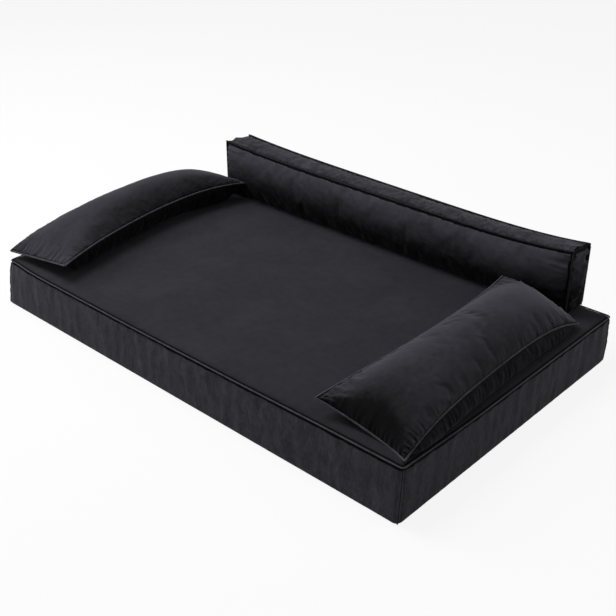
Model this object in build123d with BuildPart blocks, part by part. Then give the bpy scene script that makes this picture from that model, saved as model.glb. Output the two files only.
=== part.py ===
from build123d import *

import os
from math import hypot, sqrt

os.makedirs("parts", exist_ok=True)

# A sofa bed for a dog: a velvet mattress, a bolster along its back and a pillow on each side.
# Millimetres. +X runs along the long side, +Y to the back, +Z up, from the middle of the underside.

# Mattress
base_width = 1040.0
base_depth = 630.0
base_height = 100.0
base_corner = 30.0
foot_radius = 12.0
shoulder_run = 16.0
shoulder_slope = 2.0
cover_wall = 3.0
foam_ease = 0.3
comfort_height = 28.0
shoulder_run_shares = (0.0, 0.35, 1.0)
shoulder_rise_shares = (0.0, 0.6, 1.0)

# Piping
welt_radius = 2.5
welt_sides = 8
welt_ease = 0.3

# Hook and loop strips that hold the loose pieces
strip_width = 25.0
strip_end = 60.0
lift_gap = 0.3

# Bolster
bolster_length = 900.0
bolster_thick = 60.0
bolster_back_inset = 3.0
bolster_end_height = 129.0
bolster_front_sag = 15.0
bolster_back_sag = 31.0
bolster_hem_height = 34.0
front_bulge = 9.0
back_bulge = 4.0
top_crown = 4.0
end_bulge = 1.0
bolster_half_shares = (0.2, 0.4, 0.6, 0.78, 0.92, 1.0)
face_chords = 4

# Pillows
pillow_length = 524.0
pillow_width = 169.0
pillow_corner_height = 40.0
pillow_side_inset = 1.0
side_draw = 9.0
side_rise = 10.0
end_draw = 12.0
left_crown = 46.0
right_crown = 58.0
left_pillow_setback = 29.0
right_pillow_setback = 51.0
pillow_wall = 2.0
fill_ease = 0.9
flat_cut = 0.5
foot_share = 0.76
side_bulge_share = 0.1
end_thick_share = 0.14
crown_power = 3
belly_power = 6
pillow_half_shares = (0.22, 0.44, 0.62, 0.77, 0.88, 0.95, 1.0)
crown_chords = 8
side_chords = 3
seam_chords = 8
hollow_half_shares = (0.3, 0.55, 0.75, 0.9, 1.0)
hollow_crown_chords = 6
hollow_side_chords = 2

# Zips
base_slot = 880.0
bolster_slot = 760.0
pillow_slot = 300.0
base_zip_height = 44.0
bolster_zip_height = 20.0
zip_recess = 4.0
slot_half = 7.0
tape_half = 12.0
tape_end = 8.0
tape_wall = 0.6
slit_half = 0.45
row_width = 2.2
row_height = 1.5
row_chamfer = 0.5
stop_length = 3.0
stop_rise = 0.4
run_ease = 0.25
plate_wall = 1.0
slider_length = 10.0
slider_flare = 1.2
flange_wall = 0.9
plate_bevel = 1.0
post_half = 0.25
post_length = 3.0
bridge_width = 1.8
bridge_wall = 0.9
bridge_window = 3.6
bridge_bevel = 0.6
pull_wall = 1.1
pull_length = 22.0
pull_arm = 1.4
pull_tip_half = 3.6
pull_bevel = 1.2
pull_hole_radius = 1.6
pull_hole_sides = 8
pull_ease = 0.3
slot_reach = 14.0

# Places that follow from the sizes
shoulder_drop = cover_wall + shoulder_slope
seam_height = base_height - shoulder_drop
welt_room = welt_radius + welt_ease
strip_wall = welt_radius / 2
rest_height = base_height + 2 * strip_wall + lift_gap
bolster_back = base_depth / 2 - bolster_back_inset
bolster_front = bolster_back - bolster_thick
bolster_half = bolster_length / 2
bolster_middle = (bolster_front + bolster_back) / 2
pillow_half = pillow_width / 2
pillow_reach = pillow_length / 2
taper_reach = pillow_reach - end_draw
pillow_place = base_width / 2 - pillow_side_inset - pillow_half
pillow_seam = base_height + pillow_corner_height
zip_end_room = pull_length + slider_length / 2
row_outer = slit_half + row_width
slider_half = row_outer + run_ease + flange_wall
plate_low = -(tape_wall + run_ease + plate_wall)
plate_high = row_height + run_ease
pivot_rise = plate_high + plate_wall + pull_ease + pull_wall / 2
eye_half = bridge_width / 2 + pull_ease
eye_reach = hypot(bridge_window / 2 + bridge_wall, pull_wall / 2 + pull_ease + bridge_wall) + pull_ease


def save(piece, name):
    """Label a finished piece and write it."""
    piece.part.label = name
    export_step(piece.part, f"parts/{name}.step")


def stations(half_shares):
    """Places from one end to the other, as shares of the half length on each side of the middle."""
    return [-share for share in reversed(half_shares)] + [0] + list(half_shares)


def arc_share(place, half, sagitta):
    """How far a shallow arc over plus and minus half has risen at a place: 0 at its ends, 1 midway."""
    radius = (half**2 + sagitta**2) / (2 * sagitta)
    return (sqrt(radius**2 - place**2) - (radius - sagitta)) / sagitta


def chord_places(start, middle, end, count):
    """The ends of so many equal chords of an arc through three places."""
    arc = ThreePointArc(start, middle, end, mode=Mode.PRIVATE)
    return [arc @ (i / count) for i in range(count + 1)]


def chords(start, middle, end, count):
    """An arc through three places, drawn as so many straight chords."""
    return Polyline(*chord_places(start, middle, end, count))


def piping(places):
    """A cord through a closed round of places, mitred at each."""
    with BuildPart() as cord:
        with BuildLine() as path:
            Polyline(*places, close=True)
        with BuildSketch(Plane(origin=path.line @ 0, z_dir=path.line % 0)):
            RegularPolygon(welt_radius, welt_sides)
        sweep(transition=Transition.RIGHT)
    return cord.part


# Zips. A zip's plane lies on the outer face of its tapes, with X along the rows and Z outwards.


def zip_block(plane, length, half_width, low, high):
    """A plain block in a zip's plane, from low to high."""
    with BuildPart() as block:
        with BuildSketch(plane.offset(low)):
            Rectangle(length, 2 * half_width)
        extrude(amount=high - low)
    return block.part


def slotted(panel, form, plane, slot):
    """A cover panel with its zip slot and the turned-in hem that the tapes are sewn to."""
    with BuildPart() as hem:
        add(form)
        add(zip_block(plane, slot + 2 * tape_end, tape_half, 0, slot_reach), mode=Mode.INTERSECT)
    with BuildPart() as cover:
        add(panel)
        add(
            zip_block(plane, slot + 2 * tape_end, tape_half, -slot_reach, 0), mode=Mode.SUBTRACT
        )
        add(hem.part)
        add(zip_block(plane, slot, slot_half, -slot_reach, slot_reach), mode=Mode.SUBTRACT)
    return cover.part


def zip_relief(plane, slot):
    """The room that a filling leaves behind a zip for its tapes and for the slider's inner plate."""
    return zip_block(
        plane,
        slot + 2 * (tape_end + foam_ease),
        tape_half + foam_ease,
        plate_low - 2 * foam_ease,
        slot_reach,
    )


def zip_chain(name, plane, slot):
    """Two tapes with their rows of teeth, joined by the bottom stop, and a stop on top of each row."""
    row_end = slot / 2 - zip_end_room
    with BuildPart() as chain:
        with BuildSketch(plane.offset(-tape_wall)):
            Rectangle(slot + 2 * tape_end, 2 * tape_half)
            with Locations((-row_end, 0)):
                Rectangle(
                    2 * slot, 2 * slit_half, align=(Align.MIN, Align.CENTER), mode=Mode.SUBTRACT
                )
        extrude(amount=tape_wall)
        start = Plane(
            origin=plane.from_local_coords((-row_end, 0, 0)),
            x_dir=plane.y_dir,
            z_dir=plane.x_dir,
        )
        with BuildSketch(start) as rows:
            with Locations((slit_half, 0), (-row_outer, 0)):
                Rectangle(row_width, row_height, align=(Align.MIN, Align.MIN))
            chamfer(rows.vertices().group_by(Axis.Y)[-1], row_chamfer)
        extrude(amount=2 * row_end)
        with BuildSketch(plane):
            with Locations((-row_end, 0)):
                Rectangle(stop_length, 2 * row_outer, align=(Align.MAX, Align.CENTER))
            with Locations((row_end, slit_half), (row_end, -row_outer)):
                Rectangle(stop_length, row_width, align=(Align.MIN, Align.MIN))
        extrude(amount=row_height + stop_rise)
    save(chain, f"{name}_zip_chain")


def zip_slider(name, plane, slot):
    """The slider at the closed end: two plates round the rows, a post between them and a bridge."""
    rest = slot / 2 - zip_end_room - slider_length / 2 - run_ease
    top = plate_high + plate_wall
    with BuildPart() as slider:
        for low in (plate_low, plate_high):
            with BuildSketch(plane.offset(low)) as outline:
                Polygon(
                    (rest - slider_length / 2, -slider_half),
                    (rest + slider_length / 2, -slider_half - slider_flare),
                    (rest + slider_length / 2, slider_half + slider_flare),
                    (rest - slider_length / 2, slider_half),
                    align=None,
                )
                chamfer(outline.vertices(), plate_bevel)
            extrude(amount=plate_wall)
        with BuildSketch(plane.offset(run_ease)):
            with Locations(
                (rest, slider_half - flange_wall / 2), (rest, flange_wall / 2 - slider_half)
            ):
                Rectangle(slider_length - 2 * plate_bevel, flange_wall)
        extrude(amount=plate_high - run_ease)
        with BuildSketch(plane.offset(plate_low + plate_wall)):
            with Locations((rest + slider_length / 4, 0)):
                Rectangle(post_length, 2 * post_half)
        extrude(amount=plate_high - plate_low - plate_wall)
        side = Plane(
            origin=plane.from_local_coords((rest, 0, top)),
            x_dir=plane.x_dir,
            z_dir=-plane.y_dir,
        )
        with BuildSketch(side) as bridge:
            Rectangle(
                bridge_window + 2 * bridge_wall,
                pull_wall + 2 * pull_ease + bridge_wall,
                align=(Align.CENTER, Align.MIN),
            )
            chamfer(bridge.vertices().group_by(Axis.Y)[-1], bridge_bevel)
            Rectangle(
                bridge_window,
                pull_wall + 2 * pull_ease,
                align=(Align.CENTER, Align.MIN),
                mode=Mode.SUBTRACT,
            )
        extrude(amount=bridge_width / 2, both=True)
    save(slider, f"{name}_zip_slider")
    pivot = plane.from_local_coords((rest, 0, pivot_rise))
    print(name, "zip pivot", [round(v, 3) for v in pivot], "travel", round(2 * rest, 3))


def zip_pull(name, plane, slot):
    """The pull, folded back along the closed rows, with its eye round the slider's bridge."""
    rest = slot / 2 - zip_end_room - slider_length / 2 - run_ease
    bar = pull_wall / 2
    with BuildPart() as pull:
        with BuildSketch(plane.offset(pivot_rise - pull_wall / 2)) as outline:
            Polygon(
                (rest + bar, -eye_half - pull_arm),
                (rest + bar, eye_half + pull_arm),
                (rest - eye_reach - pull_arm, eye_half + pull_arm),
                (rest - pull_length + bar, pull_tip_half),
                (rest - pull_length + bar, -pull_tip_half),
                (rest - eye_reach - pull_arm, -eye_half - pull_arm),
                align=None,
            )
            chamfer(outline.vertices().group_by(Axis.X)[0], pull_bevel)
            with Locations((rest - bar, 0)):
                Rectangle(
                    eye_reach - bar,
                    2 * eye_half,
                    align=(Align.MAX, Align.CENTER),
                    mode=Mode.SUBTRACT,
                )
            with Locations((rest - pull_length + bar + pull_tip_half, 0)):
                RegularPolygon(pull_hole_radius, pull_hole_sides, mode=Mode.SUBTRACT)
        extrude(amount=pull_wall)
    save(pull, f"{name}_zip_pull")


def zip_parts(name, plane, slot):
    """All the pieces of one zip."""
    zip_chain(name, plane, slot)
    zip_slider(name, plane, slot)
    zip_pull(name, plane, slot)


# Mattress


def mattress_form(inset):
    """The mattress drawn in by an inset: walls, foot and the shoulder above the seam.

    The foot is rounded outside, and plainly chamfered where an inset puts it out of sight.
    """
    width = base_width - 2 * inset
    depth = base_depth - 2 * inset
    with BuildPart() as form:
        with BuildSketch(Plane.XY.offset(inset)):
            RectangleRounded(width, depth, base_corner - inset)
        extrude(amount=seam_height - inset)
        foot = form.edges().group_by(Axis.Z)[0]
        if inset:
            chamfer(foot, foot_radius - inset)
        else:
            fillet(foot, foot_radius)
        for run_share, rise_share in zip(shoulder_run_shares, shoulder_rise_shares):
            with BuildSketch(Plane.XY.offset(seam_height + rise_share * (shoulder_drop - inset))):
                RectangleRounded(
                    width - 2 * run_share * shoulder_run,
                    depth - 2 * run_share * shoulder_run,
                    base_corner - inset,
                )
        loft(ruled=True)
    return form.part


def mattress_piping(radius):
    """A cord round the mattress at the seam."""
    x, y = base_width / 2, base_depth / 2
    with BuildPart() as cord:
        with BuildLine(Plane.XY.offset(seam_height)) as run:
            FilletPolyline((-x, -y), (x, -y), (x, y), (-x, y), radius=base_corner, close=True)
        with BuildSketch(Plane(origin=run.line @ 0, z_dir=run.line % 0)):
            RegularPolygon(radius, welt_sides)
        sweep()
    return cord.part


base_zip_plane = Plane(
    origin=(0, base_depth / 2 - zip_recess, base_zip_height), x_dir=(-1, 0, 0), z_dir=(0, 1, 0)
)
mattress = mattress_form(0)
mattress_filling = mattress_form(cover_wall + foam_ease)
comfort_floor = base_height - cover_wall - foam_ease - comfort_height

with BuildPart() as base_support_foam:
    add(mattress_filling)
    split(bisect_by=Plane.XY.offset(comfort_floor), keep=Keep.BOTTOM)
    add(zip_relief(base_zip_plane, base_slot), mode=Mode.SUBTRACT)
save(base_support_foam, "base_support_foam")

with BuildPart() as base_comfort_foam:
    add(mattress_filling)
    split(bisect_by=Plane.XY.offset(comfort_floor), keep=Keep.TOP)
save(base_comfort_foam, "base_comfort_foam")

with BuildPart() as base_cover:
    add(mattress)
    add(mattress_form(cover_wall), mode=Mode.SUBTRACT)
    add(mattress_piping(welt_radius + welt_ease), mode=Mode.SUBTRACT)

with BuildPart() as base_top_panel:
    add(base_cover.part)
    split(bisect_by=Plane.XY.offset(seam_height), keep=Keep.TOP)
save(base_top_panel, "base_top_panel")

with BuildPart() as base_bottom_panel:
    with BuildSketch():
        RectangleRounded(
            base_width - 2 * foot_radius, base_depth - 2 * foot_radius, base_corner - foot_radius
        )
    extrude(amount=cover_wall)
save(base_bottom_panel, "base_bottom_panel")

with BuildPart() as base_boxing:
    add(base_cover.part)
    split(bisect_by=Plane.XY.offset(seam_height), keep=Keep.BOTTOM)
    add(base_bottom_panel.part, mode=Mode.SUBTRACT)


def boxing_side(corners):
    """One side of the boxing, cut at the mattress's corners."""
    with BuildPart() as side:
        add(base_boxing.part)
        with BuildSketch():
            Polygon(*corners, align=None)
        extrude(amount=base_height, mode=Mode.INTERSECT)
    return side.part


reach_x = base_width / 2 + base_corner
reach_y = base_depth / 2 + base_corner
ridge_x = reach_x - reach_y

with BuildPart() as base_front_boxing:
    add(boxing_side([(-reach_x, -reach_y), (reach_x, -reach_y), (ridge_x, 0), (-ridge_x, 0)]))
save(base_front_boxing, "base_front_boxing")

with BuildPart() as base_right_boxing:
    add(boxing_side([(reach_x, -reach_y), (reach_x, reach_y), (ridge_x, 0)]))
save(base_right_boxing, "base_right_boxing")

with BuildPart() as base_left_boxing:
    add(boxing_side([(-reach_x, reach_y), (-reach_x, -reach_y), (-ridge_x, 0)]))
save(base_left_boxing, "base_left_boxing")

with BuildPart() as base_back_boxing:
    back_side = boxing_side(
        [(reach_x, reach_y), (-reach_x, reach_y), (-ridge_x, 0), (ridge_x, 0)]
    )
    add(slotted(back_side, mattress, base_zip_plane, base_slot))
save(base_back_boxing, "base_back_boxing")

with BuildPart() as base_welt:
    add(mattress_piping(welt_radius))
save(base_welt, "base_welt")

zip_parts("base", base_zip_plane, base_slot)


def strip(name, centre, length, width, floor):
    """A strip of hooks or loops, sewn flat on a cover."""
    with BuildPart() as tape:
        with BuildSketch(Plane.XY.offset(floor)):
            with Locations(centre):
                Rectangle(length, width)
        extrude(amount=strip_wall)
    save(tape, name)


bolster_spot = (0, bolster_middle)
bolster_strip = bolster_length - 2 * strip_end
left_spot = (-pillow_place, -left_pillow_setback)
right_spot = (pillow_place, -right_pillow_setback)
pillow_strip = pillow_length - 4 * strip_end
strip("base_back_hooks", bolster_spot, bolster_strip, strip_width, base_height)
strip("base_left_hooks", left_spot, strip_width, pillow_strip, base_height)
strip("base_right_hooks", right_spot, strip_width, pillow_strip, base_height)

# Bolster


def bolster_top(x, sag):
    """Height of a top edge that sags midway, at a place along the bolster."""
    return rest_height + bolster_end_height - sag * arc_share(x, bolster_half, sag)


def bolster_form(inset):
    """The bolster drawn in by an inset: flat foot, bulged faces and a top that sags midway."""
    front, back = bolster_front + inset, bolster_back - inset
    floor, hem = rest_height + inset, rest_height + bolster_hem_height
    with BuildPart() as form:
        for share in stations(bolster_half_shares):
            x = share * (bolster_half - inset)
            front_top = bolster_top(x, bolster_front_sag) - inset
            back_top = bolster_top(x, bolster_back_sag) - inset
            swell = 1 - share**4
            front_out = front - end_bulge - (front_bulge - end_bulge) * swell
            back_out = back + end_bulge + (back_bulge - end_bulge) * swell
            crown = end_bulge + (top_crown - end_bulge) * swell
            with BuildSketch(Plane.YZ.offset(x)):
                with BuildLine():
                    Line((front, floor), (back, floor))
                    Line((back, floor), (back, hem))
                    back_middle = (back_out, (hem + back_top) / 2)
                    top_middle = (bolster_middle, (front_top + back_top) / 2 + crown)
                    front_middle = (front_out, (front_top + floor) / 2)
                    chords((back, hem), back_middle, (back, back_top), face_chords)
                    chords((back, back_top), top_middle, (front, front_top), face_chords)
                    chords((front, front_top), front_middle, (front, floor), face_chords)
                make_face()
        loft(ruled=True)
    return form.part


def bolster_piping(face, sag):
    """The cord round the front or the back panel: over the sagging top, down the ends, along the foot."""
    top = [share * bolster_half for share in stations(bolster_half_shares)]
    foot = [(bolster_half, face, rest_height), (-bolster_half, face, rest_height)]
    return piping([(x, face, bolster_top(x, sag)) for x in top] + foot)


def bolster_panel(face, sag, inner):
    """The front or the back wall of the cover, as far in as the inner plane, cut short of its piping."""
    x, floor = bolster_half - welt_room, rest_height + welt_room
    places = [share * x for share in stations(bolster_half_shares)]
    with BuildPart() as panel:
        add(bolster_cover.part)
        with BuildSketch(Plane.XZ.offset(-inner)):
            Polygon(
                *[(place, bolster_top(place, sag) - welt_room) for place in places],
                (x, floor),
                (-x, floor),
                align=None,
            )
        extrude(amount=2 * (inner - face), mode=Mode.INTERSECT)
    return panel.part


bolster_zip_plane = Plane(
    origin=(0, bolster_back - zip_recess, rest_height + bolster_zip_height),
    x_dir=(-1, 0, 0),
    z_dir=(0, 1, 0),
)
bolster = bolster_form(0)
front_split = bolster_front + cover_wall
back_split = bolster_back - cover_wall

with BuildPart() as bolster_foam:
    add(bolster_form(cover_wall + foam_ease))
    add(zip_relief(bolster_zip_plane, bolster_slot), mode=Mode.SUBTRACT)
save(bolster_foam, "bolster_foam")

with BuildPart() as bolster_cover:
    add(bolster)
    add(bolster_form(cover_wall), mode=Mode.SUBTRACT)

with BuildPart() as bolster_front_panel:
    add(bolster_panel(bolster_front - front_bulge, bolster_front_sag, front_split))
save(bolster_front_panel, "bolster_front_panel")

with BuildPart() as bolster_back_panel:
    back_face = bolster_panel(bolster_back + back_bulge, bolster_back_sag, back_split)
    add(slotted(back_face, bolster, bolster_zip_plane, bolster_slot))
save(bolster_back_panel, "bolster_back_panel")

with BuildPart() as bolster_ring:
    add(bolster_cover.part)
    split(bisect_by=Plane.XZ.offset(-front_split), keep=Keep.BOTTOM)
    split(bisect_by=Plane.XZ.offset(-back_split), keep=Keep.TOP)

with BuildPart() as bolster_left_end:
    add(bolster_ring.part)
    split(bisect_by=Plane.YZ.offset(cover_wall - bolster_half), keep=Keep.BOTTOM)
save(bolster_left_end, "bolster_left_end")

with BuildPart() as bolster_right_end:
    add(bolster_ring.part)
    split(bisect_by=Plane.YZ.offset(bolster_half - cover_wall), keep=Keep.TOP)
save(bolster_right_end, "bolster_right_end")

with BuildPart() as bolster_long_ring:
    add(bolster_ring.part)
    split(bisect_by=Plane.YZ.offset(cover_wall - bolster_half), keep=Keep.TOP)
    split(bisect_by=Plane.YZ.offset(bolster_half - cover_wall), keep=Keep.BOTTOM)

with BuildPart() as bolster_top_boxing:
    add(bolster_long_ring.part)
    split(bisect_by=Plane.XY.offset(rest_height + bolster_hem_height), keep=Keep.TOP)
save(bolster_top_boxing, "bolster_top_boxing")

with BuildPart() as bolster_bottom_boxing:
    add(bolster_long_ring.part)
    split(bisect_by=Plane.XY.offset(rest_height + bolster_hem_height), keep=Keep.BOTTOM)
save(bolster_bottom_boxing, "bolster_bottom_boxing")

with BuildPart() as bolster_front_welt:
    add(bolster_piping(bolster_front, bolster_front_sag))
save(bolster_front_welt, "bolster_front_welt")

with BuildPart() as bolster_back_welt:
    add(bolster_piping(bolster_back, bolster_back_sag))
save(bolster_back_welt, "bolster_back_welt")

strip("bolster_loops", bolster_spot, bolster_strip, strip_width, rest_height - strip_wall)
zip_parts("bolster", bolster_zip_plane, bolster_slot)

# Pillows


def plumpness(y, power):
    """How thick a pillow is at a place along it, as a share of its middle."""
    along = min(abs(y) / taper_reach, 1)
    return end_thick_share + (1 - end_thick_share) * sqrt(1 - along**power)


def pillow_station(y):
    """Half width, seam height, foot half width and foot height of a pillow at a place along it."""
    drawn = arc_share(y, pillow_reach, hypot(side_draw, side_rise))
    half = pillow_half - side_draw * drawn
    seam = pillow_seam + side_rise * drawn
    depth = pillow_seam + side_rise - rest_height + flat_cut
    return half, seam, foot_share * half, seam - depth * plumpness(y, belly_power)


def pillow_half_form(spot, crown, room):
    """The upper half of a pillow, from a room above the seam, or the lower half where crown is zero."""
    centre_x, centre_y = spot
    with BuildPart() as form:
        inner_places = [share * taper_reach for share in stations(pillow_half_shares)]
        for y in [-pillow_reach] + inner_places + [pillow_reach]:
            half, seam, foot_half, foot = pillow_station(y)
            with BuildSketch(Plane.XZ.offset(-(centre_y + y))):
                with BuildLine():
                    if crown:
                        rise = crown * plumpness(y, crown_power)
                        radius = (half**2 + rise**2) / (2 * rise)
                        lip_half = sqrt(radius**2 - (radius - rise + room) ** 2)
                        left, right = (centre_x - lip_half, seam + room), (centre_x + lip_half, seam + room)
                        chords(left, (centre_x, seam + rise), right, crown_chords)
                    else:
                        share = room / (seam - foot)
                        bulge = side_bulge_share * (seam - foot)
                        lip_half = half - (half - foot_half) * share + 4 * bulge * share * (1 - share)
                        left, right = (centre_x - lip_half, seam - room), (centre_x + lip_half, seam - room)
                        foot_left, foot_right = (centre_x - foot_half, foot), (centre_x + foot_half, foot)
                        belly, middle = (half + foot_half) / 2 + bulge, (seam + foot) / 2
                        chords(right, (centre_x + belly, middle), foot_right, side_chords)
                        Line(foot_right, foot_left)
                        chords(foot_left, (centre_x - belly, middle), left, side_chords)
                    Line(left, right)
                make_face()
        loft(ruled=True)
        end_radius = (pillow_half**2 + end_draw**2) / (2 * end_draw)
        end_place = taper_reach + end_radius
        with BuildSketch(Plane.XY.offset(base_height)):
            with Locations((centre_x, centre_y - end_place), (centre_x, centre_y + end_place)):
                Circle(end_radius)
        extrude(amount=2 * (pillow_corner_height + right_crown), mode=Mode.SUBTRACT)
        split(bisect_by=Plane.XY.offset(rest_height), keep=Keep.TOP)
    return form.part


def pillow_hollow(spot, crown, inset):
    """The room inside a pillow's cover: faceted sections of one shape that shrink to pinched ends."""
    half, seam, foot_half, foot = pillow_station(0)
    half, rise, drop = half - inset, crown - inset, seam - foot - inset
    foot_half = foot_share * half
    belly = (half + foot_half) / 2 + side_bulge_share * drop
    outline = chord_places((-half, 0), (0, rise), (half, 0), hollow_crown_chords)
    right_side = chord_places((half, 0), (belly, -drop / 2), (foot_half, -drop), hollow_side_chords)
    outline += right_side[1:] + [Vector(-place.X, place.Y) for place in right_side[1:]]
    places = []
    for share in stations(hollow_half_shares):
        y = share * (taper_reach - inset)
        size = plumpness(share * taper_reach, crown_power)
        middle = Vector(*spot, pillow_station(y)[1])
        places += [middle + Vector(size * place.X, y, size * place.Y) for place in outline]
    with BuildPart() as form:
        ConvexPolyhedron(places)
        split(bisect_by=Plane.XY.offset(rest_height + inset), keep=Keep.TOP)
    return form.part


def pillow_piping(spot):
    """The cord along the four seams of a pillow, from corner to corner."""
    x, y = spot
    end_rise = side_rise * arc_share(taper_reach, pillow_reach, hypot(side_draw, side_rise))
    corners = [
        (x + i * pillow_half, y + j * pillow_reach, pillow_seam)
        for i, j in ((-1, -1), (1, -1), (1, 1), (-1, 1))
    ]
    middles = [
        (x, y - taper_reach, pillow_seam + end_rise),
        (x + pillow_half - side_draw, y, pillow_seam + side_rise),
        (x, y + taper_reach, pillow_seam + end_rise),
        (x - pillow_half + side_draw, y, pillow_seam + side_rise),
    ]
    places = []
    for start, middle, end in zip(corners, middles, corners[1:] + corners[:1]):
        places += chord_places(start, middle, end, seam_chords)[:-1]
    return piping(places)


def pillow_zip_plane(spot):
    """The zip under the seam on the pillow's left side, in the plane of that side midway along."""
    half, seam, foot_half, foot = pillow_station(0)
    run, climb = half - foot_half, seam - foot
    slope = hypot(run, climb)
    out = (-climb / slope, 0, -run / slope)
    depth = zip_recess - side_bulge_share * climb
    x = spot[0] - (half + foot_half) / 2 - depth * out[0]
    z = (seam + foot) / 2 - depth * out[2]
    return Plane(origin=(x, spot[1], z), x_dir=(0, -1, 0), z_dir=out)


def pillow(name, spot, crown):
    """All the pieces of one pillow."""
    plane = pillow_zip_plane(spot)
    hollow = pillow_hollow(spot, crown, pillow_wall)

    with BuildPart() as fill:
        add(pillow_hollow(spot, crown, pillow_wall + fill_ease))
        add(zip_relief(plane, pillow_slot), mode=Mode.SUBTRACT)
    save(fill, f"{name}_fill")

    with BuildPart() as top:
        add(pillow_half_form(spot, crown, welt_room))
        add(hollow, mode=Mode.SUBTRACT)
    save(top, f"{name}_top")

    underside = pillow_half_form(spot, 0, welt_room)
    with BuildPart() as bottom:
        add(underside)
        add(hollow, mode=Mode.SUBTRACT)
    with BuildPart() as slotted_bottom:
        add(slotted(bottom.part, underside, plane, pillow_slot))
    save(slotted_bottom, f"{name}_bottom")

    with BuildPart() as welt:
        add(pillow_piping(spot))
    save(welt, f"{name}_welt")

    strip(f"{name}_loops", spot, strip_width, pillow_strip, rest_height - strip_wall)
    zip_parts(name, plane, pillow_slot)


pillow("left_pillow", left_spot, left_crown)
pillow("right_pillow", right_spot, right_crown)
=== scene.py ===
import math

import bpy
import numpy as np
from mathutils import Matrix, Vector, kdtree, noise


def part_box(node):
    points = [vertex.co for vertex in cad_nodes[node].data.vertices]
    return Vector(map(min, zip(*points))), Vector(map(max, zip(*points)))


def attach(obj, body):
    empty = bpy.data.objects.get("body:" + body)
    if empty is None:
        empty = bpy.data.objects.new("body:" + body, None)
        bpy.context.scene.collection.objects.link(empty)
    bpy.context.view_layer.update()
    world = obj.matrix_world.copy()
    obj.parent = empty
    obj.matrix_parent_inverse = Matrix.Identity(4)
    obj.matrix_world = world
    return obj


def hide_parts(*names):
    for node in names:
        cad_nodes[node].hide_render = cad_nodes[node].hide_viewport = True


# The looks of a velvet sofa bed for a dog: the mattress, the bolster and two pillows, in metres.

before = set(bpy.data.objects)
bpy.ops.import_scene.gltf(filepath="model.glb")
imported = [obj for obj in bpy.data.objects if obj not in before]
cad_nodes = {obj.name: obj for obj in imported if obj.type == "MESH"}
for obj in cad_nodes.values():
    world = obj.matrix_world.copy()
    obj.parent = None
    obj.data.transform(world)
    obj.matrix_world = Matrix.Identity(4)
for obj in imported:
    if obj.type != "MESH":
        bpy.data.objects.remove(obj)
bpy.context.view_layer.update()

# Camera, fitted to the photograph
camera_azimuth = math.radians(42.6)
camera_elevation = math.radians(28.75)
camera_target = Vector((-0.037, 0.087, 0))
camera_distance = 2.056
sensor_width = 36.0
focal_pixels = 980.0
image_pixels = 616.0

# Cords, tucks beside them with painted seam shade, creases and cloth
cord_sides = 12
bolster_seam_shade_width = 0.0052
top_seam_shade_width = 0.0055
wall_seam_shade_width = 0.0060
corner_seam_shade_width = 0.0011
cord_thickness = 0.0018
mattress_cord_thickness = 0.0013
steep_share = 0.3
ridge_depth = 2.6
ridge_power = 0.7
sim_frames = 20
settle_cap = 0.006
tiny = 1e-9
# A depth, a distance from the cord and a width for each dip beside a cord
tuck_dips = ((0.0011, 0, 0.0016), (0.0030, 0.0033, 0.0019))


# Shapes


def piece(name, places, faces, body):
    """A smooth mesh that rides on a body."""
    mesh = bpy.data.meshes.new(name)
    mesh.from_pydata([tuple(place) for place in places], [], faces)
    mesh.validate()
    mesh.shade_smooth()
    made = bpy.data.objects.new(name, mesh)
    bpy.context.scene.collection.objects.link(made)
    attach(made, body)
    return made


def box_grid(counts):
    """Whole-number places all over a box's surface, and the quads between them, facing out."""
    index, quads = {}, []
    for axis in range(3):
        across, up = (axis + 1) % 3, (axis + 2) % 3
        for side in (0, counts[axis]):
            for i in range(counts[across]):
                for j in range(counts[up]):
                    quad = []
                    for di, dj in ((0, 0), (1, 0), (1, 1), (0, 1)):
                        place = [0, 0, 0]
                        place[axis], place[across], place[up] = side, i + di, j + dj
                        quad.append(index.setdefault(tuple(place), len(index)))
                    quads.append(quad if side else quad[::-1])
    return np.array(list(index)), quads


def fine_ends(half, fine, step):
    """Places from minus half to plus half: a fine list of distances at each end, then even steps."""
    inner = half - fine[-1]
    count = max(2, round(2 * inner / step))
    middle = np.linspace(-inner, inner, count + 1)
    ends = [half - distance for distance in fine[:-1]]
    return np.array([-end for end in ends] + list(middle) + ends[::-1])


def wobble(places, scales, seed):
    """Smooth noise from about -1 to 1 at each place, with a scale per axis."""
    shift = Vector((seed, 2 * seed, 3 * seed))
    grown = np.asarray(places) * np.asarray(scales)
    return np.array([noise.noise(Vector(place) + shift) for place in grown])


def ridges(places, scales, seed):
    """Creases from noise: sharp valleys between soft folds, about -1 to 1."""
    return 1 - ridge_depth * np.abs(wobble(places, scales, seed)) ** ridge_power


def folds(places, rows, kind=ridges):
    """Folds added up: each row has a scale per axis, a seed and a height."""
    return sum(kind(places, scales, seed) * height for scales, seed, height in rows)


def dips(gap, rows):
    """Dips added up over a distance: each row has a depth, a place and a width."""
    return sum(depth * np.exp(-(((gap - place) / width) ** 2)) for depth, place, width in rows)


def refine(obj):
    """Subdivide a piece once and keep the result as its mesh."""
    smooth = obj.modifiers.new("fine", "SUBSURF")
    smooth.levels = smooth.render_levels = 1
    fine = bpy.data.meshes.new_from_object(obj.evaluated_get(bpy.context.evaluated_depsgraph_get()))
    obj.modifiers.remove(smooth)
    fine.name = obj.name
    fine.shade_smooth()
    obj.data = fine
    places = np.empty(len(fine.vertices) * 3, np.float32)
    fine.vertices.foreach_get("co", places)
    normals = np.empty(len(fine.vertices) * 3, np.float32)
    fine.vertices.foreach_get("normal", normals)
    return places.reshape(-1, 3).astype(float), normals.reshape(-1, 3).astype(float)


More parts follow.
